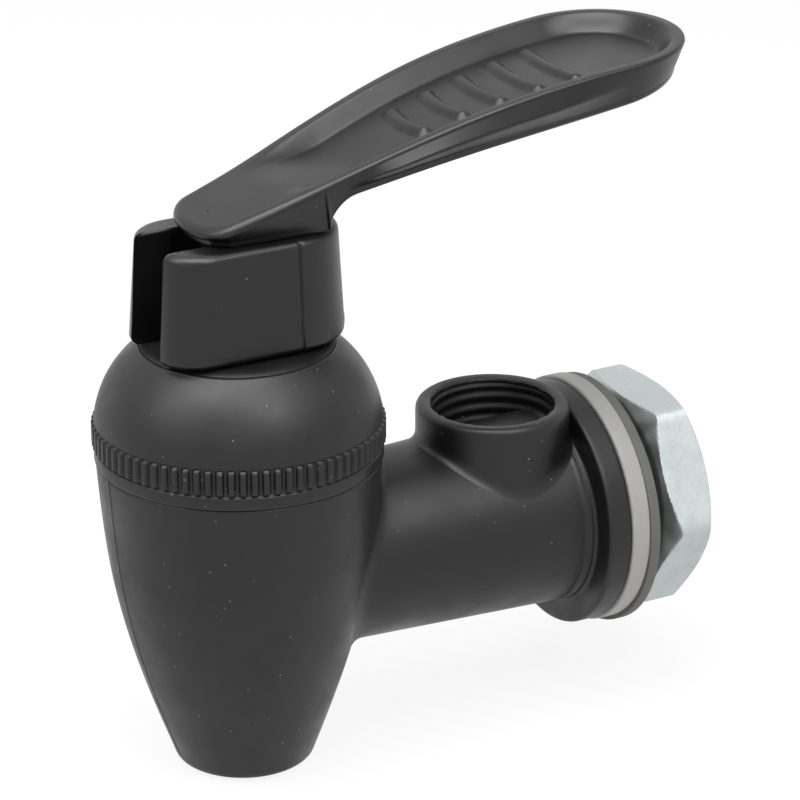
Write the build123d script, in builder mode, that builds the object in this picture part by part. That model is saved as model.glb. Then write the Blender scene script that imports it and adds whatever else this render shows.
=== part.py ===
from build123d import *
import os

os.makedirs("parts", exist_ok=True)

# A dispensing tap: a lever on a sprung stem lifts a silicone cup off the seat inside the spout.
# Sizes are in millimetres. The origin is on the shank's axis, on the flange's sealing face.
# +Y runs along the shank into the vessel's wall, +Z is up, and the spout hangs in front, at -Y.

# Spout and neck
reach = 47.4  # sealing face to the spout's axis
spout_bottom = -24.5
spout_r = 8.6
belly_z = -12.6
belly_r = 12.75
waist_z = 0.3
waist_r = 15.95
shoulder_r = 17.6
parting_z = 16.2  # where the bonnet's skirt meets the body
neck_r = 15.0
neck_h = 5.8
lip_fillet = 0.8

# Water way through the body
chamber_r = 12.0
chamber_floor_r = 10.8
chamber_floor_z = -9.5
seat_h = 2.0
seat_outer_r = 7.8
outlet_r = 6.2
inlet_r = 6.2

# Shank, flange and threaded tail
shank_root_r = 10.8
shank_end_r = 12.6
shank_fillet = 1.5
flange_t = 3.3
flange_r = 15.9
flange_fillet = 0.5
thread_r = 9.0
tail_length = 15.5

# Sight-gauge port on top of the shank
port_setback = 11.5  # sealing face to the port's axis
port_outer_r = 9.85
port_r = 7.9
port_top = 16.1
port_depth = 8.0
port_rim_fillet = 0.9
port_feed_r = 2.5
port_feed_setback = 15.0
port_root_fillet = 1.2

# Bonnet
thread_clearance = 0.15
skirt_r = 17.75
knurl_bottom = 18.0
knurl_h = 3.4
knurl_root_r = 17.5
knurl_r = 18.0
knurl_count = 80
knurl_rib_w = 0.75
dome_base_r = 17.7
dome_bulge = 1.3
top_z = 31.2
top_r = 11.5
top_wall = 2.5
cavity_r = 9.2

# Seat cup
cup_rim_t = 1.8
cup_rim_r = 14.7
cup_skirt_r = 9.1
cup_wall = 1.2
plug_r = 8.4
plug_t = 7.0

# Stem and spring
stem_r = 3.0
stem_clearance = 0.06
collar_r = 6.2
collar_t = 1.6
button_l = 4.0
button_clearance = 0.05
head_z = 41.5
head_r = 2.5
head_half = 4.6
wire_r = 0.5
coil_r = 4.7
coil_pitch = 3.2
coil_end_gap = 0.05

# Handle: cam block
seat_gap = 0.03  # block to the bonnet's flat top
block_half = 8.6
block_front = -12.2  # from the spout's axis
block_rear = 13.6
block_top = 45.3
block_draft = 0.75  # each side's lean-in from foot to top
block_corner_r = 5.0
block_top_fillet = 1.0
block_foot_chamfer = 0.7
pivot_y = 11.0  # rear edge that the block rocks on, from the spout's axis
heel_rise = 2.6
slot_half = 4.0
slot_rear = 4.6
groove_clearance = 0.25
groove_half = 4.9
groove_rear = 3.4
groove_front = -6.4

# Handle: lever, in a side view along +Y from the spout's axis
root_z = 45.0
root_rear = 9.2
nose_y = -11.0
nose_z = 46.0
nose_half = 10.5
nose_bulge = 3.4
heel_y = 3.0  # where the dish runs out towards the nose
heel_z = 50.2
throat_y = 10.0
throat_half = 11.4
crest_y = 26.0
crest_z = 57.8
grip_half = 12.3
pad_y = 45.0
pad_z = 61.4
lever_end = 61.3
lever_tip_r = 12.8
draft_top = 64.0  # height at which the plan outline has its full size
lever_draft = 4.7  # how far the flanks lean in from there to the root
tip_z = 62.6
tip_t = 4.2
pad_t = 5.8
crest_t = 5.2
arch_y = 12.5
arch_z = 49.8
bend_y = 9.5
bend_z = 47.2
rim_w = 1.3
under_fillet = 1.0
dish_depth = 2.3
dish_fillet = 1.8
ridge_count = 5
ridge_first = 20.9  # along the dish from its start
ridge_pitch = 5.13
ridge_first_half = 4.0
ridge_growth = 0.48
ridge_w = 1.9
ridge_h = 0.55
ridge_bow = 0.5

# Washers and nut on the tail
hole_clearance = 0.45
washer_t = 2.5
washer_r = 16.2
backing_t = 1.4
backing_r = 16.4
nut_start = 6.4  # sealing face to the nut's front face
nut_t = 7.1
nut_corner_r = 15.87
nut_face_r = 13.05
nut_turn = -3.0
nut_clearance = 0.1
nut_chamfer_h = 1.6

neck_top = parting_z + neck_h
seat_z = chamber_floor_z + seat_h
ledge_z = neck_top + cup_rim_t
ceiling_z = top_z - top_wall
socket_r = neck_r + thread_clearance
knurl_top = knurl_bottom + knurl_h
plug_top = seat_z + plug_t
collar_top = plug_top + collar_t
block_bottom = top_z + seat_gap
block_h = block_top - block_bottom
rear_centre = block_rear - block_half

spout_axis = Axis((0, -reach, 0), (0, 0, 1))
spout_section = Plane(origin=(0, -reach, 0), x_dir=(1, 0, 0), z_dir=(0, -1, 0))
lever_section = Plane(origin=(0, -reach, 0), x_dir=(0, 1, 0), z_dir=(1, 0, 0))
lever_side = lever_section.offset(-lever_tip_r)
spout_plan = Plane(origin=(0, -reach, 0))

# Body: spout, shank, flange, tail and gauge port in one moulding
with BuildPart() as body:
    with BuildSketch(spout_section):
        with BuildLine():
            Spline(
                (spout_r, spout_bottom),
                (belly_r, belly_z),
                (waist_r, waist_z),
                (shoulder_r, parting_z),
            )
            Polyline(
                (shoulder_r, parting_z),
                (neck_r, parting_z),
                (neck_r, neck_top),
                (0, neck_top),
                (0, spout_bottom),
                (spout_r, spout_bottom),
            )
        make_face()
    revolve(axis=spout_axis)
    fillet(body.edges().group_by(Axis.Z)[0], lip_fillet)
    with BuildSketch(Plane.XY) as shank_side:
        with BuildLine():
            Polyline(
                (0, -reach),
                (shank_root_r, -reach),
                (shank_end_r, -flange_t),
                (flange_r, -flange_t),
                (flange_r, 0),
                (thread_r, 0),
                (thread_r, tail_length),
                (0, tail_length),
                close=True,
            )
        make_face()
        fillet(shank_side.vertices().group_by(Axis.X)[-1], flange_fillet)
    revolve(axis=Axis.Y)
    spout_join = body.edges(Select.LAST).filter_by(GeomType.BSPLINE).sort_by(SortBy.LENGTH)[-1]
    fillet(spout_join, shank_fillet)
    with BuildSketch(Plane.XY):
        with Locations((0, -port_setback)):
            Circle(port_outer_r)
    extrude(amount=port_top)
    port_join = body.edges(Select.LAST).filter_by(GeomType.BSPLINE).sort_by(SortBy.LENGTH)[-1]
    fillet(port_join, port_root_fillet)
    port_rim = body.edges().filter_by(GeomType.CIRCLE).filter_by_position(Axis.Z, port_top, port_top)
    fillet(port_rim, port_rim_fillet)
    with BuildSketch(spout_section):
        with BuildLine():
            Polyline(
                (0, neck_top),
                (chamber_r, neck_top),
                (chamber_floor_r, chamber_floor_z),
                (seat_outer_r, chamber_floor_z),
                (seat_outer_r, seat_z),
                (outlet_r, seat_z),
                (outlet_r, spout_bottom),
                (0, spout_bottom),
                close=True,
            )
        make_face()
    revolve(axis=spout_axis, mode=Mode.SUBTRACT)
    with BuildSketch(Plane.XZ.offset(-tail_length)):
        Circle(inlet_r)
    extrude(amount=reach + tail_length, mode=Mode.SUBTRACT)
    with BuildSketch(Plane.XY.offset(port_top)):
        with Locations((0, -port_setback)):
            Circle(port_r)
    extrude(amount=-port_depth, mode=Mode.SUBTRACT)
    with BuildSketch(Plane.XY.offset(port_top)):
        with Locations((0, -port_feed_setback)):
            Circle(port_feed_r)
    extrude(amount=-port_top, mode=Mode.SUBTRACT)
body.part.label = "body"
export_step(body.part, "parts/body.step")

# Bonnet: a turned cap with a ribbed grip band and a hole that guides the stem
with BuildPart() as bonnet:
    with BuildSketch(spout_section):
        with BuildLine():
            Polyline(
                (top_r, top_z),
                (stem_r + stem_clearance, top_z),
                (stem_r + stem_clearance, ceiling_z),
                (cavity_r, ceiling_z),
                (cavity_r, ledge_z),
                (socket_r, ledge_z),
                (socket_r, parting_z),
                (skirt_r, parting_z),
                (skirt_r, knurl_bottom),
                (knurl_root_r, knurl_bottom),
                (knurl_root_r, knurl_top),
                (dome_base_r, knurl_top),
            )
            SagittaArc((dome_base_r, knurl_top), (top_r, top_z), -dome_bulge)
        make_face()
    revolve(axis=spout_axis)
    with BuildSketch(spout_plan.offset(knurl_bottom)):
        with PolarLocations((knurl_r + socket_r) / 2, knurl_count):
            Rectangle(knurl_r - socket_r, knurl_rib_w)
    extrude(amount=knurl_h)
bonnet.part.label = "bonnet"
export_step(bonnet.part, "parts/bonnet.step")

# Seat cup: a rim clamped under the bonnet, a thin skirt and a solid plug on the seat
with BuildPart() as seat_cup:
    with BuildSketch(spout_section):
        with BuildLine():
            Polyline(
                (0, seat_z),
                (plug_r, seat_z),
                (plug_r, plug_top),
                (cup_skirt_r, neck_top),
                (cup_rim_r, neck_top),
                (cup_rim_r, ledge_z),
                (cup_skirt_r - cup_wall, ledge_z),
                (plug_r - cup_wall, plug_top),
                (stem_r + button_clearance, plug_top),
                (stem_r + button_clearance, plug_top - button_l - button_clearance),
                (0, plug_top - button_l - button_clearance),
                close=True,
            )
        make_face()
    revolve(axis=spout_axis)
seat_cup.part.label = "seat_cup"
export_step(seat_cup.part, "parts/seat_cup.step")

# Stem: a rod with a button in the cup, a collar under the spring and a cross head in the handle
with BuildPart() as stem:
    with BuildSketch(spout_section):
        with BuildLine():
            Polyline(
                (0, plug_top - button_l),
                (stem_r, plug_top - button_l),
                (stem_r, plug_top),
                (collar_r, plug_top),
                (collar_r, collar_top),
                (stem_r, collar_top),
                (stem_r, head_z),
                (0, head_z),
                close=True,
            )
        make_face()
    revolve(axis=spout_axis)
    with BuildSketch(lever_section):
        with Locations((0, head_z)):
            Circle(head_r)
    extrude(amount=head_half, both=True)
stem.part.label = "stem"
export_step(stem.part, "parts/stem.step")

# Spring: a plain helix between the stem's collar and the bonnet's ceiling
coil_start = collar_top + wire_r + coil_end_gap
coil_h = ceiling_z - wire_r - coil_end_gap - coil_start
with BuildPart() as spring:
    with BuildLine():
        coil = Helix(pitch=coil_pitch, height=coil_h, radius=coil_r, center=(0, -reach, coil_start))
    with BuildSketch(Plane(origin=coil @ 0, z_dir=coil % 0)):
        Circle(wire_r)
    sweep(path=coil, is_frenet=True)
spring.part.label = "spring"
export_step(spring.part, "parts/spring.step")

# Lever: a side section cut to the plan outline, with a dished and ribbed thumb pad
tip_centre = lever_end - lever_tip_r


def lever_outline(inset):
    # The lever seen from above: a bulged nose, flaring flanks and a round tip.
    nose = nose_half - inset
    tip = lever_tip_r - inset
    shoulder = nose_y + inset + nose_bulge
    ThreePointArc((-nose, shoulder), (0, nose_y + inset), (nose, shoulder))
    for side in (1, -1):
        Spline(
            (side * nose, shoulder),
            (side * (throat_half - inset), throat_y),
            (side * (grip_half - inset), crest_y),
            (side * tip, tip_centre),
        )
    ThreePointArc((tip, tip_centre), (0, tip_centre + tip), (-tip, tip_centre))


with BuildLine(mode=Mode.PRIVATE) as pad_line:
    Spline(
        (heel_y, heel_z),
        (crest_y, crest_z - dish_depth),
        (pad_y, pad_z - dish_depth),
        (lever_end, tip_z - dish_depth),
    )
pad_floor = pad_line.edges()[0]


with BuildPart() as dish:
    with BuildSketch(lever_side):
        with BuildLine():
            add(pad_floor)
            Polyline(
                (lever_end, tip_z - dish_depth),
                (lever_end, draft_top),
                (heel_y, draft_top),
                (heel_y, heel_z),
            )
        make_face()
    extrude(amount=2 * lever_tip_r)
    with BuildSketch(spout_plan.offset(root_z)):
        with BuildLine():
            lever_outline(rim_w + lever_draft)
        make_face()
    with BuildSketch(spout_plan.offset(draft_top)):
        with BuildLine():
            lever_outline(rim_w)
        make_face()
    loft(ruled=True, mode=Mode.INTERSECT)
    fillet(dish.faces().sort_by(Axis.Z)[0].edges(), dish_fillet)

with BuildPart() as lever:
    with BuildSketch(lever_side):
        with BuildLine():
            Spline(
                (nose_y, nose_z),
                (heel_y, heel_z),
                (crest_y, crest_z),
                (pad_y, pad_z),
                (lever_end, tip_z),
            )
            Line((lever_end, tip_z), (lever_end, tip_z - tip_t))
            Spline(
                (lever_end, tip_z - tip_t),
                (pad_y, pad_z - pad_t),
                (crest_y, crest_z - crest_t),
                (arch_y, arch_z),
                (bend_y, bend_z),
                (root_rear, root_z),
            )
            Polyline((root_rear, root_z), (nose_y, root_z), (nose_y, nose_z))
        make_face()
    extrude(amount=2 * lever_tip_r)
    with BuildSketch(spout_plan.offset(root_z)):
        with BuildLine():
            lever_outline(lever_draft)
        make_face()
    with BuildSketch(spout_plan.offset(draft_top)):
        with BuildLine():
            lever_outline(0)
        make_face()
    loft(ruled=True, mode=Mode.INTERSECT)
    underside = lever.faces().sort_by(lambda face: face.normal_at().Z)[1]  # the root's flat foot is first
    fillet(underside.edges(), under_fillet)
    add(dish.part, mode=Mode.SUBTRACT)
    for step in range(ridge_count):
        run = ridge_first + step * ridge_pitch
        spot = pad_floor.position_at(run, position_mode=PositionMode.LENGTH)
        slope = pad_floor.tangent_at(run, position_mode=PositionMode.LENGTH)
        ridge_half = ridge_first_half + step * ridge_growth
        ridge_plane = Plane(
            origin=(0, spot.X - reach, spot.Y), x_dir=(1, 0, 0), z_dir=(0, -slope.Y, slope.X)
        )
        ridge_arc = ThreePointArc(
            (-ridge_half, ridge_bow), (0, 0), (ridge_half, ridge_bow), mode=Mode.PRIVATE
        )
        with BuildSketch(ridge_plane):
            SlotArc(ridge_arc, ridge_w)
        extrude(amount=ridge_h, both=True)

# Handle: the cam block with its T-slot, and the lever that roofs the slot


def block_outline(inset):
    # The block seen from above: a round heel, straight cheeks and rounded front corners.
    half = block_half - inset
    front = block_front + inset
    ThreePointArc((half, rear_centre), (0, rear_centre + half), (-half, rear_centre))
    Line((-half, rear_centre), (-half, front + block_corner_r))
    RadiusArc((-half, front + block_corner_r), (block_corner_r - half, front), -block_corner_r)
    Line((block_corner_r - half, front), (half - block_corner_r, front))
    RadiusArc((half - block_corner_r, front), (half, front + block_corner_r), -block_corner_r)
    Line((half, front + block_corner_r), (half, rear_centre))


with BuildPart() as handle:
    with BuildSketch(spout_plan.offset(block_bottom)):
        with BuildLine():
            block_outline(0)
        make_face()
    with BuildSketch(spout_plan.offset(block_top)):
        with BuildLine():
            block_outline(block_draft)
        make_face()
    loft(ruled=True)
    fillet(handle.faces().sort_by(Axis.Z)[-1].edges(), block_top_fillet)
    chamfer(handle.faces().sort_by(Axis.Z)[0].edges(), block_foot_chamfer)
    with BuildSketch(lever_section):
        with BuildLine():
            Polyline(
                (pivot_y, block_bottom),
                (block_rear, block_bottom + heel_rise),
                (block_rear + block_half, block_bottom + heel_rise),
                (block_rear + block_half, block_bottom),
                close=True,
            )
        make_face()
    extrude(amount=block_half, both=True, mode=Mode.SUBTRACT)
    with BuildSketch(spout_plan.offset(block_bottom)):
        with Locations((0, slot_rear - slot_half)):
            Circle(slot_half)
        with Locations((0, (2 * block_front + slot_rear - slot_half) / 2)):
            Rectangle(2 * slot_half, slot_rear - slot_half - 2 * block_front)
    extrude(amount=block_h, mode=Mode.SUBTRACT)
    with BuildSketch(lever_section):
        with Locations(((groove_front + groove_rear) / 2, head_z)):
            Rectangle(groove_rear - groove_front, 2 * (head_r + groove_clearance))
    extrude(amount=groove_half, both=True, mode=Mode.SUBTRACT)
    add(lever.part)
handle.part.label = "handle"
export_step(handle.part, "parts/handle.step")

# Washers and nut on the tail
with BuildPart() as seal_washer:
    with BuildSketch(Plane.XZ):
        Circle(washer_r)
        Circle(thread_r + hole_clearance, mode=Mode.SUBTRACT)
    extrude(amount=-washer_t)
seal_washer.part.label = "seal_washer"
export_step(seal_washer.part, "parts/seal_washer.step")

with BuildPart() as backing_washer:
    with BuildSketch(Plane.XZ.offset(-washer_t)):
        with Locations((0, -hole_clearance)):
            Circle(backing_r)
            Circle(thread_r + hole_clearance, mode=Mode.SUBTRACT)
    extrude(amount=-backing_t)
backing_washer.part.label = "backing_washer"
export_step(backing_washer.part, "parts/backing_washer.step")

with BuildPart() as hex_nut:
    with BuildSketch(Plane.XZ.offset(-nut_start)):
        RegularPolygon(nut_corner_r, 6, rotation=nut_turn)
        Circle(thread_r + nut_clearance, mode=Mode.SUBTRACT)
    extrude(amount=-nut_t)
    with BuildSketch(Plane.XY):
        with BuildLine():
            Polyline(
                (0, nut_start),
                (nut_face_r, nut_start),
                (nut_corner_r, nut_start + nut_chamfer_h),
                (nut_corner_r, nut_start + nut_t - nut_chamfer_h),
                (nut_face_r, nut_start + nut_t),
                (0, nut_start + nut_t),
                close=True,
            )
        make_face()
    revolve(axis=Axis.Y, mode=Mode.INTERSECT)
hex_nut.part.label = "hex_nut"
export_step(hex_nut.part, "parts/hex_nut.step")
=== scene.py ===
import math
import bmesh
import bpy
import numpy as np
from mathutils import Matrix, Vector


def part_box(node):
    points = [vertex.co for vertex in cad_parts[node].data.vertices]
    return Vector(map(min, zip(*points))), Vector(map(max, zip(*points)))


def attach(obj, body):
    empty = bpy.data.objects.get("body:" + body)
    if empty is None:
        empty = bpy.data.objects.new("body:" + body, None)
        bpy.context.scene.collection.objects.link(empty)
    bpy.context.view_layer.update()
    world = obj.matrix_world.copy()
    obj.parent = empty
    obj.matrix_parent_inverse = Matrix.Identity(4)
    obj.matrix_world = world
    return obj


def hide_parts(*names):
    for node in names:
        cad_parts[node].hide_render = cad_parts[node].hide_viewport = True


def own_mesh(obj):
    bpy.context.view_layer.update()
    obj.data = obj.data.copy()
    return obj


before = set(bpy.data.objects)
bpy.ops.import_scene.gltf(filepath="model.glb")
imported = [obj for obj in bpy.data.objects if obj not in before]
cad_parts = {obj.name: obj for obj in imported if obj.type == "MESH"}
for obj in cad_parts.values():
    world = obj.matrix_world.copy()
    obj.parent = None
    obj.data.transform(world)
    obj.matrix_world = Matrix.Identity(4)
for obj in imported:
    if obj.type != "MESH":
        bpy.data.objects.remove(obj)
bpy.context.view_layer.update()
print("stage: frame loaded")

mm = 0.001  # pieces are worked out in millimetres, the frame is in metres


# Lowest and highest corner of a CAD node in millimetres.
def boxMm(node):
    return [np.array(corner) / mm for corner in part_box(node)]


bodyLow, bodyHigh = boxMm("body")
bonnetLow, bonnetHigh = boxMm("bonnet")
handleLow, handleHigh = boxMm("handle")
nutLow, nutHigh = boxMm("hex_nut")
washerLow, washerHigh = boxMm("seal_washer")
backingLow, backingHigh = boxMm("backing_washer")
spoutY = (bonnetLow[1] + bonnetHigh[1]) / 2  # the spout's upright axis
partingZ = bonnetLow[2]


# 0 below low, 1 above high, and a smooth S between: t squared times (3 - 2t).
def smooth(value, low, high):
    t = np.clip((value - low) / (high - low), 0, 1)
    return t * t * (3 - 2 * t)


# Natural cubic spline through (xs, ys): the second slopes solve one small linear system.
def spline(xs, ys, x):
    xs, ys = np.array(xs, float), np.array(ys, float)
    h, n = np.diff(xs), len(xs)
    system, right = np.eye(n), np.zeros(n)
    for i in range(1, n - 1):
        system[i, i - 1:i + 2] = h[i - 1], 2 * (h[i - 1] + h[i]), h[i]
        right[i] = 6 * ((ys[i + 1] - ys[i]) / h[i] - (ys[i] - ys[i - 1]) / h[i - 1])
    second = np.linalg.solve(system, right)
    k = np.clip(np.searchsorted(xs, x) - 1, 0, n - 2)
    a, b = xs[k + 1] - x, x - xs[k]
    curve = (second[k] * a ** 3 + second[k + 1] * b ** 3) / (6 * h[k])
    return curve + (ys[k] / h[k] - second[k] * h[k] / 6) * a + (
        ys[k + 1] / h[k] - second[k + 1] * h[k] / 6) * b


# Points from a to c that leave along a-b and arrive along b-c: (1-t)^2 a + 2t(1-t) b + t^2 c.
def bend(a, b, c, t):
    return (1 - t) ** 2 * a + 2 * t * (1 - t) * b + t * t * c


# A profile from corners (across, along, rounding): each corner is a bend, and the runs between are cut
# into steps.
def profile(corners, step=0.5, turns=6):
    spots = np.array([c[:2] for c in corners], float)
    t = np.linspace(0, 1, turns)[:, None]
    parts = []
    for i, (across, along, rounding) in enumerate(corners):
        here = spots[i]
        if rounding == 0:
            parts.append(here[None])
            continue
        before, after = spots[i - 1] - here, spots[(i + 1) % len(spots)] - here
        start = here + before / np.hypot(*before) * rounding
        end = here + after / np.hypot(*after) * rounding
        parts.append(bend(start, here, end, t))
    path = np.concatenate(parts)
    run = np.concatenate([[0], np.cumsum(np.hypot(*np.diff(path, axis=0).T))])
    cuts = np.maximum(1, np.ceil(np.diff(run) / step)).astype(int)
    places = np.concatenate(
        [np.linspace(a, b, n, endpoint=False) for a, b, n in zip(run, run[1:], cuts)] + [run[-1:]])
    return np.stack([np.interp(places, run, path[:, 0]), np.interp(places, run, path[:, 1])], 1)


# Turns (radius, height) about an upright axis: x = r sin a, y = axisY - r cos a, so angle 0 is the front.
def turnedUpright(radius, height, angle, axisY):
    radius, height = np.broadcast_arrays(radius, height)
    return np.stack([radius * np.sin(angle), axisY - radius * np.cos(angle), height + 0 * angle], -1)


# Turns (radius, y) about the shank's level axis, dropped by a few tenths where a ring hangs: x = r sin
# a, z = r cos a.
def turnedLevel(radius, y, angle, drop=0.0):
    radius, y = np.broadcast_arrays(radius, y)
    return np.stack([radius * np.sin(angle), y + 0 * angle, radius * np.cos(angle) - drop], -1)


# The four corners of every cell of a grid of rows and columns, whose columns run round.
def cells(rows, columns, first):
    row, column = np.arange(rows - 1)[:, None], np.arange(columns)[None, :]
    after = (column + 1) % columns
    corners = [row * columns + column, row * columns + after, (row + 1) * columns + after,
        (row + 1) * columns + column]
    return np.stack(corners, -1).reshape(-1, 4) + first


# One smooth mesh from grids of points in millimetres; equal points are merged and the faces turned outwards.
def piece(name, grids, material, node, body, sharpDeg=180):
    counts = np.cumsum([0] + [g.shape[0] * g.shape[1] for g in grids])
    points = np.concatenate([g.reshape(-1, 3) for g in grids]) * mm
    quads = np.concatenate([cells(g.shape[0], g.shape[1], first) for g, first in zip(grids, counts)])
    mesh = bpy.data.meshes.new(name)
    mesh.vertices.add(len(points))
    mesh.vertices.foreach_set("co", points.ravel())
    mesh.loops.add(quads.size)
    mesh.loops.foreach_set("vertex_index", quads.ravel())
    mesh.polygons.add(len(quads))
    mesh.polygons.foreach_set("loop_start", np.arange(0, quads.size, 4))
    mesh.update(calc_edges=True)
    shape = bmesh.new()
    shape.from_mesh(mesh)
    bmesh.ops.remove_doubles(shape, verts=shape.verts, dist=0.0005 * mm)
    bmesh.ops.dissolve_degenerate(shape, edges=shape.edges, dist=0.0002 * mm)
    bmesh.ops.recalc_face_normals(shape, faces=shape.faces)
    shape.to_mesh(mesh)
    shape.free()
    mesh.polygons.foreach_set("use_smooth", np.ones(len(mesh.polygons), bool))
    mesh.set_sharp_from_angle(angle=math.radians(sharpDeg))
    mesh.materials.append(material)
    obj = bpy.data.objects.new(name, mesh)
    bpy.context.scene.collection.objects.link(obj)
    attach(obj, body)
    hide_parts(node)
    return obj


# One node with its sockets and settings; a name that is no socket is a setting.
def addNode(tree, kind, **values):
    node = tree.nodes.new(kind)
    for name, value in values.items():
        socketName = name.replace("_", " ")
        if socketName in node.inputs:
            socket = node.inputs[socketName]
            if isinstance(value, bpy.types.NodeSocket):
                tree.links.new(value, socket)
            else:
                socket.default_value = value
        else:
            setattr(node, name, value)
    return node


# sRGB hex to the linear colour that the shaders work in.
def colour(hexCode):
    srgb = np.array([int(hexCode[i:i + 2], 16) for i in (1, 3, 5)]) / 255
    linear = np.where(srgb <= 0.04045, srgb / 12.92, ((srgb + 0.055) / 1.055) ** 2.4)
    return (*linear, 1.0)


# A new material with an empty tree; returns it with its tree and output node.
def newMaterial(name):
    material = bpy.data.materials.new(name)
    material.use_nodes = True
    material.node_tree.nodes.clear()
    return material, material.node_tree, material.node_tree.nodes.new("ShaderNodeOutputMaterial")


# One look for all: base colour, pale specks, patches of gloss and a fine grain in relief, all sized in
# millimetres.
def surface(name, look):
    material, tree, out = newMaterial(name)
    place = addNode(tree, "ShaderNodeTexCoord").outputs["Object"]
    patch = addNode(tree, "ShaderNodeTexNoise", Vector=place, Scale=1 / (look["patchMm"] * mm),
        Detail=4.0).outputs["Fac"]
    grain = addNode(tree, "ShaderNodeTexNoise", Vector=place, Scale=1 / (look["grainMm"] * mm),
        Detail=2.0).outputs["Fac"]
    cell = addNode(tree, "ShaderNodeTexVoronoi", Vector=place, Scale=1 / (look["speckMm"] * mm))
    speck = addNode(tree, "ShaderNodeMapRange", Value=cell.outputs["Distance"], From_Min=look["speckR"],
        From_Max=look["speckR"] / 2, To_Min=0.0, To_Max=patch)
    base = addNode(tree, "ShaderNodeMixRGB", Fac=speck.outputs[0], Color1=colour(look["base"]),
        Color2=colour(look["speckHex"]))
    rough = addNode(tree, "ShaderNodeMapRange", Value=patch, From_Min=0.3, From_Max=0.7,
        To_Min=look["rough"][0], To_Max=look["rough"][1])
    relief = addNode(tree, "ShaderNodeBump", Height=grain, Strength=look["relief"],
        Distance=look["reliefMm"] * mm)
    shader = addNode(
        tree, "ShaderNodeBsdfPrincipled", Base_Color=base.outputs[0], Roughness=rough.outputs[0],
        Normal=relief.outputs[0], Metallic=look["metal"], Specular_IOR_Level=look["gloss"])
    tree.links.new(shader.outputs[0], out.inputs["Surface"])
    return material


# Black moulded plastic gives broad soft highlights, a fine grain and a few pale specks of dust.
bodyPlastic = surface("mouldedBlackPlastic", dict(
    base="#0b0b0c", speckHex="#8a8a8c", speckMm=1.8, speckR=0.07, patchMm=6, grainMm=0.28,
    rough=(0.36, 0.52), relief=0.35, reliefMm=0.03, metal=0, gloss=0.44))
# The lever's plastic is smoother, so its rim and ridges catch the light.
leverPlastic = surface("satinBlackPlastic", dict(
    base="#0a0a0b", speckHex="#858588", speckMm=2.6, speckR=0.05, patchMm=8, grainMm=0.3,
    rough=(0.28, 0.42), relief=0.22, reliefMm=0.03, metal=0, gloss=0.44))
# Zinc plating is bright and patchy, with sparkle from its grain.
zinc = surface("zincPlatedSteel", dict(
    base="#bdc3c3", speckHex="#a4aaa8", speckMm=0.9, speckR=0.22, patchMm=2.5, grainMm=0.35,
    rough=(0.36, 0.56), relief=0.5, reliefMm=0.04, metal=1, gloss=0.5))
# Grey silicone is matt and a little dusty.
silicone = surface("greySilicone", dict(
    base="#908f8e", speckHex="#b5b5b3", speckMm=1.5, speckR=0.1, patchMm=4, grainMm=0.3, rough=(0.45, 0.6),
    relief=0.2, reliefMm=0.03, metal=0, gloss=0.5))
# Dark rubber takes the light without shine.
rubber = surface("darkRubber", dict(
    base="#565652", speckHex="#7d7d78", speckMm=1.2, speckR=0.14, patchMm=3, grainMm=0.3,
    rough=(0.6, 0.78), relief=0.3, reliefMm=0.03, metal=0, gloss=0.5))
# Drawn wire is a clean, narrow shine.
springSteel = surface("drawnSteelWire", dict(
    base="#a9a9a7", speckHex="#8a8a88", speckMm=1.0, speckR=0.1, patchMm=2, grainMm=0.2,
    rough=(0.25, 0.38), relief=0.1, reliefMm=0.02, metal=1, gloss=0.5))
# White silicone is soft and pale inside the bonnet.
cupSilicone = surface("whiteSilicone", dict(
    base="#c8c8c4", speckHex="#dededa", speckMm=1.5, speckR=0.1, patchMm=4, grainMm=0.3, rough=(0.45, 0.6),
    relief=0.1, reliefMm=0.03, metal=0, gloss=0.5))

for nodeName, material in {
    "body": bodyPlastic, "bonnet": bodyPlastic, "handle": leverPlastic, "stem": bodyPlastic,
    "hex_nut": zinc, "seal_washer": silicone, "backing_washer": rubber,
    "spring": springSteel, "seat_cup": cupSilicone,
}.items():
    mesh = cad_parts[nodeName].data
    mesh.materials.clear()
    mesh.materials.append(material)
print("stage: materials")

# Spout, shank, flange, tail and port
tap = dict(
    spoutR=8.6, bellyZ=-12.6, bellyR=12.75, waistZ=0.3, waistR=15.95, shoulderR=17.6, lipRound=0.8,
    lipRun=2.0,
    shoulderRound=0.45, neckR=15.0, chamberR=12.0, floorR=10.8, floorZ=-9.5, seatR=7.8, seatZ=-7.5, boreR=6.2,
    seamHigh=0.11, seamWide=0.014, rootR=10.8, endR=12.6, rootFillet=1.5, flangeR=15.9, flangeT=3.3,
    flangeRound=0.5,
    threadR=9.0, threadDeep=0.5, threadPitch=1.5, boreEnd=-24.0,
)
port = dict(
    y=-11.5, outerR=9.85, holeR=7.9, top=16.1, floorZ=8.1, rootFillet=1.2, rimRound=1.3, lipRound=0.45,
    threadDeep=0.26, threadPitch=1.6, threadLow=9.2, threadHigh=15.2, ragged=0.12,
)
spoutZ = (bodyLow[2], tap["bellyZ"], tap["waistZ"], partingZ)
spoutRadii = (tap["spoutR"], tap["bellyR"], tap["waistR"], tap["shoulderR"])


# Radius of the spout's wall at a height, the spline through its four rings.
def spoutRadius(z):
    return spline(spoutZ, spoutRadii, z)


# Radius of the shank at a place along it, a straight cone from spout to flange.
def shankRadius(y):
    return tap["rootR"] + (tap["endR"] - tap["rootR"]) * (y - spoutY) / (-tap["flangeT"] - spoutY)


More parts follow.
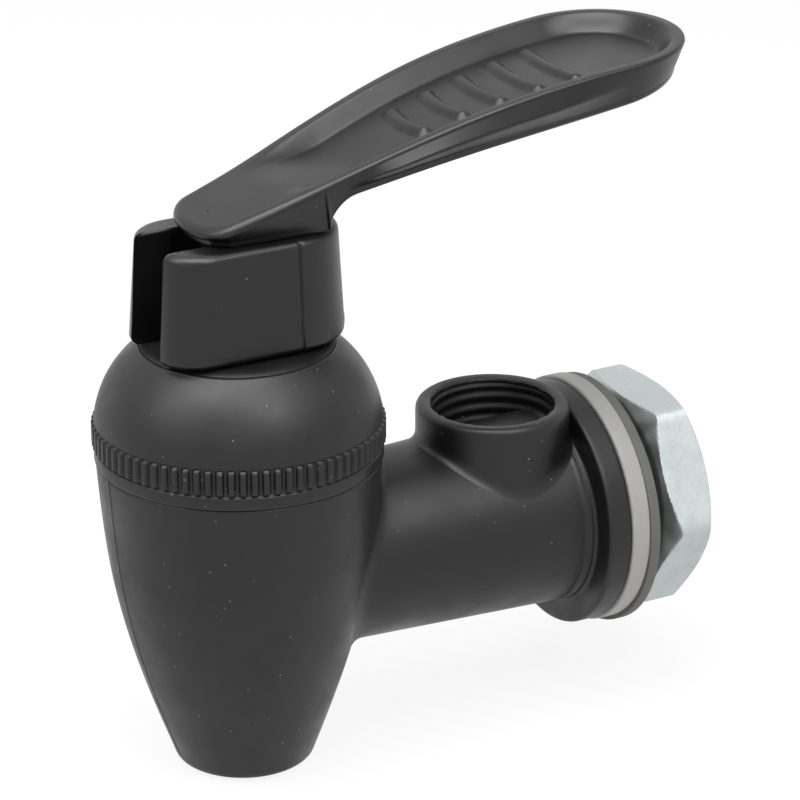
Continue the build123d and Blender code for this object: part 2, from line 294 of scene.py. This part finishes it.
around = np.linspace(0, 2 * np.pi, 168, endpoint=False)
seamSpread = np.linspace(-3, 3, 13) * tap["seamWide"]
spoutAngle = np.sort(np.concatenate([around[2:-1], seamSpread]))
lipTop = bodyLow[2] + tap["lipRun"]
wallZ = np.linspace(lipTop, partingZ - tap["shoulderRound"] * 2, 70)
wall = np.stack([spoutRadius(wallZ), wallZ], 1)
lip = profile([
    (tap["boreR"], tap["seatZ"], 0), (tap["boreR"], bodyLow[2], 0.4),
    (tap["spoutR"], bodyLow[2], tap["lipRound"]),
    (spoutRadius(lipTop), lipTop, 0),
])
inside = profile([
    (*wall[-1], 0), (tap["shoulderR"], partingZ, tap["shoulderRound"]), (tap["neckR"], partingZ, 0.2),
    (tap["neckR"], bodyHigh[2], 0.3), (tap["chamberR"], bodyHigh[2], 0.3),
    (tap["floorR"], tap["floorZ"], 0.3),
    (tap["seatR"], tap["floorZ"], 0.3), (tap["seatR"], tap["seatZ"], 0.3), (tap["boreR"], tap["seatZ"], 0),
], step=2.0)
spoutLine = np.concatenate([lip[:-1], wall, inside[1:]])
onWall = smooth(spoutLine[:, 1], bodyLow[2], lipTop) * (
    spoutLine[:, 0] > spoutRadius(np.clip(spoutLine[:, 1], bodyLow[2], partingZ)) - 0.3)
seam = tap["seamHigh"] * np.exp(-(spoutAngle / tap["seamWide"]) ** 2)
spoutGrid = turnedUpright(spoutLine[:, :1] + onWall[:, None] * seam, spoutLine[:, 1:], spoutAngle, spoutY)

# Shank: a fillet that leaves the spout's wall, the cone, the flange, the threaded tail and the bore
shankAngle = np.linspace(0, 2 * np.pi, 144, endpoint=False)
turn = np.linspace(0, 1, 9)[:, None]


# Where the spout's wall is along y, straight behind a point of the shank at this radius and angle.
def spoutFace(radius):
    x, z = radius * np.sin(shankAngle), radius * np.cos(shankAngle)
    return spoutY + np.sqrt(spoutRadius(z) ** 2 - x ** 2)


rootR = shankRadius(spoutFace(tap["rootR"]) + tap["rootFillet"])
wideR = rootR + tap["rootFillet"]
filletR = bend(wideR, rootR, rootR, turn)
filletY = bend(spoutFace(wideR) - 0.05, spoutFace(rootR), spoutFace(rootR) + tap["rootFillet"], turn)
coneY = filletY[-1] + (-tap["flangeT"] - 0.8 - filletY[-1]) * np.linspace(0, 1, 30)[1:, None]
flange = profile([
    (tap["endR"], -tap["flangeT"] - 0.8, 0), (tap["endR"], -tap["flangeT"], 0.6),
    (tap["flangeR"], -tap["flangeT"], tap["flangeRound"]),
    (tap["flangeR"], 0, tap["flangeRound"]), (tap["threadR"], 0, 0.2), (tap["threadR"], 0.6, 0),
])
tailY = np.arange(0.6, bodyHigh[1] - 1.2, tap["threadPitch"] / 10)[:, None]
thread = tap["threadDeep"] * (0.5 - 0.5 * np.cos(2 * np.pi * tailY / tap["threadPitch"] - shankAngle))
thread = thread * smooth(tailY, 0.6, 2.0) * smooth(-tailY, 1.2 - bodyHigh[1], 2.4 - bodyHigh[1])
tailEnd = profile([
    (tap["threadR"], bodyHigh[1] - 1.2, 0), (tap["threadR"], bodyHigh[1], 0.7),
    (tap["boreR"], bodyHigh[1], 0.4),
    (tap["boreR"], tap["boreEnd"], 0), (0, tap["boreEnd"], 0),
], step=1.5)
shankGrid = np.concatenate([
    turnedLevel(filletR, filletY, shankAngle),
    turnedLevel(shankRadius(coneY), coneY, shankAngle),
    turnedLevel(flange[:, :1], flange[:, 1:], shankAngle),
    turnedLevel(tap["threadR"] - thread, tailY, shankAngle),
    turnedLevel(tailEnd[:, :1], tailEnd[:, 1:], shankAngle),
])

# Port: a fillet off the shank's back, a round wall, a ragged lip, threads and a floor
portAngle = np.linspace(0, 2 * np.pi, 160, endpoint=False)


# Height of the shank's back under a ring of this radius round the port.
def shankBack(radius):
    x, y = radius * np.sin(portAngle), port["y"] - radius * np.cos(portAngle)
    return np.sqrt(np.maximum(shankRadius(y) ** 2 - x ** 2, 0))


footR = np.full_like(portAngle, port["outerR"])
footWide = footR + port["rootFillet"]
portFootR = bend(footWide, footR, footR, turn)
portFootZ = bend(shankBack(footWide) - 0.05, shankBack(footR), shankBack(footR) + port["rootFillet"], turn)
wallTop = port["top"] - port["rimRound"]
portWallZ = portFootZ[-1] + (wallTop - portFootZ[-1]) * np.linspace(0, 1, 12)[1:, None]
rim = profile([
    (port["outerR"], wallTop, 0), (port["outerR"], port["top"], port["rimRound"]),
    (port["holeR"], port["top"] - 0.25, port["lipRound"]),
    (port["holeR"], port["threadHigh"] - 0.2, 0),
], step=0.25)
raggedLip = port["ragged"] * np.sin(portAngle * 23 + 2 * np.sin(portAngle * 7)) * np.sin(portAngle * 5 + 1)
nearLip = np.exp(-((rim[:, :1] - port["holeR"]) / 0.4) ** 2) * smooth(rim[:, 1:], port["threadHigh"],
    port["top"] - 0.2)
holeZ = np.arange(port["threadHigh"], port["floorZ"] + 0.3, -port["threadPitch"] / 9)[:, None]
grooves = port["threadDeep"] * (0.5 + 0.5 * np.cos(2 * np.pi * holeZ / port["threadPitch"] + portAngle))
grooves = grooves * smooth(holeZ, port["threadLow"] - 0.6, port["threadLow"]) * smooth(-holeZ,
    -port["threadHigh"], 0.6 - port["threadHigh"])
floorLine = profile([(port["holeR"], port["floorZ"] + 0.3, 0), (port["holeR"], port["floorZ"], 0.25),
    (0, port["floorZ"], 0)], step=0.6)
portGrid = np.concatenate([
    turnedUpright(portFootR, portFootZ, portAngle, port["y"]),
    turnedUpright(footR, portWallZ, portAngle, port["y"]),
    turnedUpright(rim[:, :1] + nearLip * raggedLip, rim[:, 1:], portAngle, port["y"]),
    turnedUpright(port["holeR"] - grooves, holeZ, portAngle, port["y"]),
    turnedUpright(floorLine[:, :1], floorLine[:, 1:], portAngle, port["y"]),
])
piece("tapBody", [spoutGrid, shankGrid, portGrid], bodyPlastic, "body", "tap_body")
print("stage: body")

# Bonnet: a skirt, a band of grip ribs, a dome and the hole that guides the stem
cap = dict(
    skirtR=17.75, socketR=15.15, ribLow=18.0, ribHigh=21.4, rootR=17.45, ribCount=80, ribShare=0.52,
    domeR=17.7,
    domeBulge=1.3, topR=11.5, topRound=0.7, holeR=3.06, ceiling=28.7, cavityR=9.2, ledge=23.8, joinR=8.0,
)
ribStep = 2 * np.pi / cap["ribCount"]
capAngle = np.linspace(0, 2 * np.pi, cap["ribCount"] * 10, endpoint=False)
ribPhase = np.abs((capAngle / ribStep) % 1 - 0.5) * 2
ribs = smooth(cap["ribShare"] - ribPhase, -0.22, 0.16)
chord = np.array([cap["topR"] - cap["domeR"], bonnetHigh[2] - cap["ribHigh"]])
along = np.linspace(0, 1, 44)[:, None]
outward = np.array([chord[1], -chord[0]]) / np.hypot(*chord)
dome = np.array([cap["domeR"], cap["ribHigh"]]) + along * chord + 4 * cap["domeBulge"] * along * (
    1 - along) * outward
skirt = profile([
    (cap["socketR"], partingZ, 0), (cap["skirtR"], partingZ, 0.35),
    (cap["skirtR"], cap["ribLow"] - 0.15, 0.12),
    (cap["rootR"], cap["ribLow"], 0.1), (cap["rootR"], cap["ribHigh"], 0.1), (*dome[0], 0.12), (*dome[3], 0),
], step=0.3, turns=4)
crown = profile([(*dome[-3], 0), (cap["topR"], bonnetHigh[2], cap["topRound"]),
    (cap["joinR"], bonnetHigh[2], 0)], step=0.8)
capLine = np.concatenate([skirt[:-1], dome[3:-3], crown])
inBand = smooth(capLine[:, 1], cap["ribLow"] - 0.05, cap["ribLow"] + 0.35) * smooth(-capLine[:, 1],
    -cap["ribHigh"] - 0.02, 0.3 - cap["ribHigh"])
inBand = (inBand * (capLine[:, 0] > cap["socketR"] + 1))[:, None]
ribTop = bonnetHigh[0]
capGrid = turnedUpright(capLine[:, :1] + inBand * ribs * (ribTop - cap["rootR"]), capLine[:, 1:], capAngle,
    spoutY)
capInner = profile([
    (cap["joinR"], bonnetHigh[2], 0), (cap["holeR"], bonnetHigh[2], 0.2),
    (cap["holeR"], cap["ceiling"], 0.2), (cap["cavityR"], cap["ceiling"], 0.3),
    (cap["cavityR"], cap["ledge"], 0.3), (cap["socketR"], cap["ledge"], 0.3), (cap["socketR"], partingZ, 0),
], step=2.0)
innerGrid = turnedUpright(capInner[:, :1], capInner[:, 1:], capAngle[::5], spoutY)
piece("gripBonnet", [capGrid, innerGrid], bodyPlastic, "bonnet", "tap_body")
print("stage: bonnet")

# Washers and nut on the tail
rings = dict(holeR=9.45, washerRound=0.35, backingRound=0.2, faceR=13.05, chamferH=1.6, turnDeg=-3.0,
    nutHoleR=9.1)
ringAngle = np.linspace(0, 2 * np.pi, 160, endpoint=False)


# A flat ring about the shank's axis with rounded edges.
def flatRing(low, high, rounding, drop):
    outerR = (high[0] - low[0]) / 2
    line = profile([
        (rings["holeR"], low[1], 0), (outerR, low[1], rounding), (outerR, high[1], rounding),
        (rings["holeR"], high[1], 0),
        (rings["holeR"], low[1], 0),
    ], step=0.8)
    return turnedLevel(line[:, :1], line[:, 1:], ringAngle, drop)


piece("siliconeWasher", [flatRing(washerLow, washerHigh, rings["washerRound"], 0.0)], silicone,
    "seal_washer", "tap_body")
backingDrop = -(backingLow[2] + backingHigh[2]) / 2
piece("rubberWasher", [flatRing(backingLow, backingHigh, rings["backingRound"], backingDrop)], rubber,
    "backing_washer", "tap_body")

cornerR = nutHigh[0] / math.cos(math.radians(rings["turnDeg"]))
flatR = cornerR * math.cos(math.pi / 6)
fromCorner = np.linspace(-1, 1, 33)[:-1]
hexAngle = (np.arange(6)[:, None] * math.pi / 3 + np.sign(fromCorner) * np.abs(
    fromCorner) ** 1.7 * math.pi / 6).ravel()
hexAngle = hexAngle + math.radians(90 - rings["turnDeg"])
hexR = np.tile(flatR / np.cos(math.pi / 6 - np.abs(fromCorner) ** 1.7 * math.pi / 6), 6)
hexR = -np.log(np.exp(-8 * hexR) + np.exp(-8 * (cornerR - 0.25) * np.ones_like(hexR))) / 8
nutLine = profile([
    (rings["nutHoleR"], nutLow[1] + 0.7, 0), (rings["nutHoleR"] + 0.6, nutLow[1], 0.1),
    (rings["faceR"], nutLow[1], 0.25),
    (cornerR, nutLow[1] + rings["chamferH"], 0), (cornerR, nutHigh[1] - rings["chamferH"], 0),
    (rings["faceR"], nutHigh[1], 0.25),
    (rings["nutHoleR"] + 0.6, nutHigh[1], 0.1), (rings["nutHoleR"], nutHigh[1] - 0.7, 0),
    (rings["nutHoleR"], nutLow[1] + 0.7, 0),
], step=0.14)
piece("zincNut", [turnedLevel(np.minimum(nutLine[:, :1], hexR), nutLine[:, 1:], hexAngle)], zinc,
    "hex_nut", "tap_body", sharpDeg=22)
print("stage: washers and nut")

# Handle block: a U of two cheeks joined behind, with a slot for the stem's head
block = dict(
    half=8.6, front=-12.2, rear=13.6, top=45.3, draft=0.75, cornerR=5.0, topRound=1.0, footRound=0.7,
    pivotY=11.0, heelRise=2.6,
    slotHalf=4.0, slotRear=4.6, grooveHalf=4.9, grooveLow=38.75, grooveHigh=44.25, grooveFront=-6.4,
    grooveRear=3.4,
    pocketDeep=1.3, pocketHalf=5.4, pocketFront=9.4, pocketRear=12.5,
    lineY=4.7, lineWide=0.16, lineDeep=0.3, edge=0.03,
)
blockFoot = handleLow[2]
rearCentre, slotCentre = block["rear"] - block["half"], block["slotRear"] - block["slotHalf"]
cheek = np.concatenate([np.linspace(0, 1, 26)[:-1] ** 2 * 0.29, np.linspace(0.29, 1, 140)])
sweep = np.pi * np.linspace(0, 1, 62)[1:-1]


# The outer wall seen from above, from one cheek's front round the back to the other; pull draws it in.
def blockOuter(pull):
    frontY = block["front"] + pull + block["edge"]
    y = frontY + (rearCentre - frontY) * cheek
    corner = np.clip(block["front"] + pull + block["cornerR"] - y, 0, block["cornerR"])
    x = block["half"] - pull - block["cornerR"] + np.sqrt(block["cornerR"] ** 2 - corner ** 2)
    x = np.maximum(x, block["slotHalf"] + block["edge"])
    x = x - block["lineDeep"] * np.exp(-((y - block["lineY"]) / block["lineWide"]) ** 2)
    backX = (block["half"] - pull) * np.cos(sweep)
    backY = rearCentre + (block["half"] - pull) * np.sin(sweep)
    return np.concatenate([x, backX, -x[:, ::-1]], 1), np.concatenate([y, backY, y[:, ::-1]], 1)


# The slot's wall over the same stations, its front edge on the outer wall's at each height; push cuts it
# back into the
# cheeks, as the groove for the stem's head does.
def blockSlot(push, height):
    frontY = block["front"] + np.interp(height, outerLine[:, 1], outerLine[:, 0]) + block["edge"]
    y = frontY + (slotCentre - frontY) * cheek + 0 * push
    x = block["slotHalf"] + push * smooth(y, block["grooveFront"] - 0.2, block["grooveFront"]) * smooth(-y,
        -block["grooveRear"], -block["grooveRear"] + 0.2)
    backX, backY = block["slotHalf"] * np.cos(sweep) + 0 * push, slotCentre + block["slotHalf"] * np.sin(
        sweep) + 0 * push
    return np.concatenate([x, backX, -x[:, ::-1]], 1), np.concatenate([y, backY, y[:, ::-1]], 1)


outerLine = profile([
    (block["footRound"], blockFoot, 0), (0, blockFoot + block["footRound"], 0.3),
    (block["draft"], block["top"], block["topRound"]),
    (block["draft"] + 1.3, block["top"], 0),
], step=0.6)
slotLine = profile([
    (0, block["top"], 0), (0, block["grooveHigh"], 0.1),
    (block["grooveHalf"] - block["slotHalf"], block["grooveHigh"], 0.1),
    (block["grooveHalf"] - block["slotHalf"], block["grooveLow"], 0.1), (0, block["grooveLow"], 0.1),
    (0, blockFoot, 0),
], step=0.8)
outerX, outerY = blockOuter(outerLine[:, :1])
innerX, innerY = blockSlot(slotLine[:, :1], slotLine[:, 1:])
across = np.linspace(0, 1, 24)[1:-1, None]
topX, topY = outerX[-1] + (innerX[0] - outerX[-1]) * across, outerY[-1] + (innerY[0] - outerY[-1]) * across
topZ = np.full_like(topX, block["top"])
topZ -= block["pocketDeep"] * smooth(topY, block["pocketFront"] - 0.5, block["pocketFront"]) * smooth(
    -topY, -block["pocketRear"] - 0.5, -block["pocketRear"]) * smooth(-np.abs(topX),
    -block["pocketHalf"] - 0.6, -block["pocketHalf"])
blockX, blockY = np.concatenate([outerX, topX, innerX]), np.concatenate([outerY, topY, innerY])
blockZ = np.concatenate([outerLine[:, 1:] + 0 * outerX, topZ, slotLine[:, 1:] + 0 * innerX])
heel = blockFoot + block["heelRise"] * np.clip(
    (blockY - block["pivotY"]) / (block["rear"] - block["pivotY"]), 0, 1)
blockGrid = np.stack([blockX, blockY + spoutY, np.maximum(blockZ, heel)], -1).transpose(1, 0, 2)

# Lever: sections from the spine over the dish and rim, down the flank and back under, all round its plan
lever = dict(
    noseY=-11.0, noseBulge=3.4, end=61.3, tipR=12.8, planY=(-7.6, 10.0, 26.0, 48.5),
    planHalf=(10.5, 11.4, 12.3, 12.8),
    draft=4.7, draftLow=45.0, draftHigh=64.0, topY=(-11.0, 3.0, 26.0, 45.0, 61.3),
    topZ=(46.0, 50.2, 57.8, 61.4, 62.6),
    underY=(12.5, 26.0, 45.0, 61.3), underZ=(49.8, 52.6, 55.6, 58.4), rootRear=9.2, rootZ=45.0,
    rimRound=0.45, noseRound=0.95, underRound=1.0, rimWide=1.2, dishDeep=2.2, dishRun=1.9,
    dishStart=(3.0, 15.0),
    flankBulge=1.4, crease=0.5, bulgeFrom=(9.0, 18.0), bulgeTo=(36.0, 50.0),
)
ridge = dict(count=5, firstY=22.9, pitch=5.06, firstHalf=4.0, growth=0.48, halfWide=0.95, high=0.62,
    bow=0.5, knobR=0.9, knobHigh=0.1)
tipCentre = lever["end"] - lever["tipR"]
rootShoulder = lever["noseY"] + lever["draft"] + lever["noseBulge"]
archRun = lever["underY"][0] - lever["rootRear"]
stations = np.concatenate([
    np.linspace(rootShoulder, lever["rootRear"], 40)[1:-1],
    lever["rootRear"] + archRun * np.linspace(0, 1, 30) ** 2,
    np.linspace(lever["underY"][0], tipCentre, 140)[1:-1],
])
flankPlace = (stations - rootShoulder) / (tipCentre - rootShoulder)
noseTurn, tipTurn = np.linspace(-0.5, 0.5, 49) * np.pi, np.linspace(0, 1, 81) * np.pi
place = np.concatenate([noseTurn, flankPlace, tipTurn, flankPlace[::-1]])
stretch = np.repeat([0, 1, 2, 3], [len(noseTurn), len(flankPlace), len(tipTurn), len(flankPlace)])
side = np.where(stretch == 3, -1, 1)


# The lever seen from above, drawn in by q: a half ellipse at the nose, spline flanks and a round tip.
def leverPlan(q):
    shoulder = lever["noseY"] + q + lever["noseBulge"]
    flankY = shoulder + (tipCentre - shoulder) * place
    flankX = side * (spline(lever["planY"], lever["planHalf"], np.clip(flankY, shoulder, tipCentre)) - q)
    noseX = (spline(lever["planY"], lever["planHalf"], shoulder) - q) * np.sin(place)
    noseY = lever["noseY"] + q + lever["noseBulge"] * (1 - np.cos(place))
    tipX, tipY = (lever["tipR"] - q) * np.cos(place), tipCentre + (lever["tipR"] - q) * np.sin(place)
    return np.select([stretch == 0, stretch == 2], [noseX, tipX], flankX), np.select(
        [stretch == 0, stretch == 2], [noseY, tipY], flankY)


# Height of the lever's top edge along it.
def topHeight(y):
    return spline(lever["topY"], lever["topZ"], y)


# Height of its underside: a long curve, dropped in a quarter ellipse to the block behind the root.
def underHeight(y):
    long = spline(lever["underY"], lever["underZ"], y)
    drop = spline(lever["underY"], lever["underZ"], np.array([lever["rootRear"]])) - lever["rootZ"]
    turned = np.clip((y - lever["rootRear"]) / archRun, 0, 1)
    return np.where(y < lever["rootRear"], lever["rootZ"], long - drop * (1 - np.sqrt(1 - (1 - turned) ** 2)))


# How far the flanks lean in at a height, and the plan that a height curve then gives; a few rounds settle it.
def settled(height):
    q = np.full_like(place, lever["draft"] / 2)
    for _ in range(8):
        q = lever["draft"] * (lever["draftHigh"] - height(leverPlan(q)[1])) / (
            lever["draftHigh"] - lever["draftLow"])
    return q, *leverPlan(q)


rimQ, rimX, rimY = settled(topHeight)
underQ, underX, underY = settled(underHeight)
rimZ, underZ = topHeight(rimY), underHeight(underY)
rimRound = lever["rimRound"] + (lever["noseRound"] - lever["rimRound"]) * (1 - smooth(rimY, 0, 14))
spineTop = np.where(stretch == 0, lever["noseY"] + rimQ + lever["noseBulge"],
    np.where(stretch == 2, tipCentre, rimY))
spineUnder = np.where(stretch == 0, rootShoulder, np.where(stretch == 2, tipCentre, underY))

# Top: straight from the spine to the rim, sunk by the dish and raised by the ridges
reach = np.linspace(0, 1, 46)[:, None]
edgeX, edgeY = leverPlan(rimQ + rimRound)
dishX, dishY = edgeX * reach, spineTop + (edgeY - spineTop) * reach
fromRim = (1 - reach) * np.hypot(edgeX, edgeY - spineTop)
sunk = lever["dishDeep"] * smooth(dishY, *lever["dishStart"]) * smooth(fromRim,
    lever["rimWide"] - rimRound, lever["rimWide"] + lever["dishRun"])
number = np.clip(np.round((dishY - ridge["firstY"]) / ridge["pitch"]), 0, ridge["count"] - 1)
ridgeHalf = ridge["firstHalf"] + ridge["growth"] * number
bowed = ridge["firstY"] + ridge["pitch"] * number + ridge["bow"] * np.clip(dishX / ridgeHalf, -1, 1) ** 2
offRidge = np.hypot(np.maximum(np.abs(dishX) - ridgeHalf, 0), dishY - bowed)
raised = ridge["high"] * np.sqrt(1 - np.clip(offRidge / ridge["halfWide"], 0, 1) ** 2)
offKnob = np.hypot(dishX - ridgeHalf, dishY - bowed)
raised = raised + ridge["knobHigh"] * (1 - np.clip(offKnob / ridge["knobR"], 0, 1) ** 2) ** 2
dishZ = topHeight(dishY) - sunk + raised

# Flank: it leaves the rim outwards to a crease and then leans in to the underside
corner = np.linspace(0, 1, 7)[1:, None]
rimCornerX, rimCornerY = (bend(a, b, b, corner) for a, b in ((edgeX, rimX), (edgeY, rimY)))
rimCornerZ = bend(topHeight(edgeY), rimZ, rimZ - rimRound, corner)
down = np.linspace(0, 1, 20)[1:-1, None]
swell = np.where(down < lever["crease"], down / lever["crease"], (1 - down) / (1 - lever["crease"]))
swell = lever["flankBulge"] * swell * smooth(rimY, *lever["bulgeFrom"]) * smooth(-rimY,
    -lever["bulgeTo"][1], -lever["bulgeTo"][0])
flankX, flankY = leverPlan(rimQ + (underQ - rimQ) * down - swell)
flankZ = rimZ - rimRound + (underZ + lever["underRound"] - rimZ + rimRound) * down
lowX, lowY = leverPlan(underQ + lever["underRound"])
lowCornerX, lowCornerY = (bend(a, a, b, np.concatenate([[[0.0]], corner])) for a,
    b in ((underX, lowX), (underY, lowY)))
lowCornerZ = bend(underZ + lever["underRound"], underZ, underHeight(lowY), np.concatenate([[[0.0]], corner]))
inward = np.linspace(1, 0, 16)[1:, None]
bottomX, bottomY = lowX * inward, spineUnder + (lowY - spineUnder) * inward
leverX = np.concatenate([dishX, rimCornerX, flankX, lowCornerX, bottomX])
leverY = np.concatenate([dishY, rimCornerY, flankY, lowCornerY, bottomY])
leverZ = np.concatenate([dishZ, rimCornerZ, flankZ, lowCornerZ, underHeight(bottomY)])
leverGrid = np.stack([leverX, leverY + spoutY, leverZ], -1)
piece("leverHandle", [blockGrid, leverGrid], leverPlastic, "handle", "lever")
print("stage: handle")


# A copy of a CAD node with its doubled points merged, as an object of its own on a body.
def squeezed(name, node, body, material):
    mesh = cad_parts[node].data.copy()
    shape = bmesh.new()
    shape.from_mesh(mesh)
    bmesh.ops.remove_doubles(shape, verts=shape.verts, dist=0.001 * mm)
    shape.to_mesh(mesh)
    shape.free()
    obj = bpy.data.objects.new(name, mesh)
    bpy.context.scene.collection.objects.link(obj)
    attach(obj, body)
    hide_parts(node)
    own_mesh(obj)


squeezed("coilSpring", "spring", "turning_spring", springSteel)
squeezed("seatCup", "seat_cup", "tap_body", cupSilicone)
print("stage: spring and cup")

# Floor, backdrop and light
stageLook = dict(floorDropMm=0.4, floorHalfMm=900, floorHex="#f4f4f4", floorWhite=0.88, worldStrength=0.4)
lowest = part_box("body")[0][2]
half = stageLook["floorHalfMm"] * mm
floorZ = lowest - stageLook["floorDropMm"] * mm
floorMesh = bpy.data.meshes.new("floor")
floorMesh.from_pydata(
    [(-half, -half, floorZ), (half, -half, floorZ), (half, half, floorZ), (-half, half, floorZ)], [],
    [(0, 1, 2, 3)])
floor = bpy.data.objects.new("floor", floorMesh)
bpy.context.scene.collection.objects.link(floor)

world = bpy.data.worlds.new("studio")
bpy.context.scene.world = world
world.use_nodes = True
world.node_tree.nodes.clear()
worldTree = world.node_tree


# How white the backdrop is to camera, mirror and glass rays: their sum, held at a share; the rest is
# lit, so a shadow stays.
def seenWhite(tree, share):
    path = addNode(tree, "ShaderNodeLightPath")
    total = path.outputs["Is Camera Ray"]
    for kind in ("Is Glossy Ray", "Is Transmission Ray"):
        added = addNode(tree, "ShaderNodeMath", operation="ADD")
        tree.links.new(total, added.inputs[0])
        tree.links.new(path.outputs[kind], added.inputs[1])
        total = added.outputs[0]
    held = addNode(tree, "ShaderNodeMapRange", Value=total, To_Max=share)
    return held.outputs[0]


worldOut = worldTree.nodes.new("ShaderNodeOutputWorld")
softLight = addNode(worldTree, "ShaderNodeBackground", Color=(1, 1, 1, 1),
    Strength=stageLook["worldStrength"])
whiteBack = addNode(worldTree, "ShaderNodeBackground", Color=(1, 1, 1, 1), Strength=1.0)
worldMix = addNode(worldTree, "ShaderNodeMixShader", Fac=seenWhite(worldTree, 1.0))
worldTree.links.new(softLight.outputs[0], worldMix.inputs[1])
worldTree.links.new(whiteBack.outputs[0], worldMix.inputs[2])
worldTree.links.new(worldMix.outputs[0], worldOut.inputs["Surface"])

floorMaterial, floorTree, floorOut = newMaterial("paleFloor")
floorShader = addNode(floorTree, "ShaderNodeBsdfDiffuse", Color=colour(stageLook["floorHex"]))
floorGlow = addNode(floorTree, "ShaderNodeEmission", Color=(1, 1, 1, 1), Strength=1.0)
floorMix = addNode(floorTree, "ShaderNodeMixShader", Fac=seenWhite(floorTree, stageLook["floorWhite"]))
floorTree.links.new(floorShader.outputs[0], floorMix.inputs[1])
floorTree.links.new(floorGlow.outputs[0], floorMix.inputs[2])
floorTree.links.new(floorMix.outputs[0], floorOut.inputs["Surface"])
floorMesh.materials.append(floorMaterial)


# A square soft box: placed by azimuth and height angle round the object, facing it.
def softBox(name, azimuthDeg, elevationDeg, distanceMm, sizeMm, power):
    light = bpy.data.lights.new(name, "AREA")
    light.shape = "SQUARE"
    light.size = sizeMm * mm
    light.energy = power
    lamp = bpy.data.objects.new(name, light)
    azimuth, elevation = math.radians(azimuthDeg), math.radians(elevationDeg)
    towards = Vector((math.sin(azimuth) * math.cos(elevation), -math.cos(azimuth) * math.cos(elevation),
        math.sin(elevation)))
    lamp.location = Vector((0, -0.03, 0.02)) + towards * distanceMm * mm
    lamp.rotation_euler = towards.to_track_quat("Z", "Y").to_euler()
    bpy.context.scene.collection.objects.link(lamp)


softBox("topBox", 20, 78, 500, 400, 3.0)
softBox("leftBox", 0, 40, 500, 260, 0.7)
softBox("rightBox", 100, 50, 500, 260, 1.2)

# Camera at the photograph's angle, fitted to its outline
cameraFit = dict(azimuthDeg=61.17, elevationDeg=22.44, distanceMm=437.0, aimMm=(2.3, -26.2, 19.8),
    lensMm=158.2)
azimuth, elevation = math.radians(cameraFit["azimuthDeg"]), math.radians(cameraFit["elevationDeg"])
back = Vector((math.sin(azimuth) * math.cos(elevation), -math.cos(azimuth) * math.cos(elevation),
    math.sin(elevation)))
camera = bpy.data.objects.new("camera", bpy.data.cameras.new("camera"))
camera.data.lens = cameraFit["lensMm"]
camera.data.sensor_width = 36.0
camera.data.clip_start = 0.01
camera.location = Vector(cameraFit["aimMm"]) * mm + back * cameraFit["distanceMm"] * mm
camera.rotation_euler = back.to_track_quat("Z", "Y").to_euler()
bpy.context.scene.collection.objects.link(camera)
bpy.context.scene.camera = camera
bpy.context.scene.view_settings.view_transform = "Standard"
print("stage: light and camera")
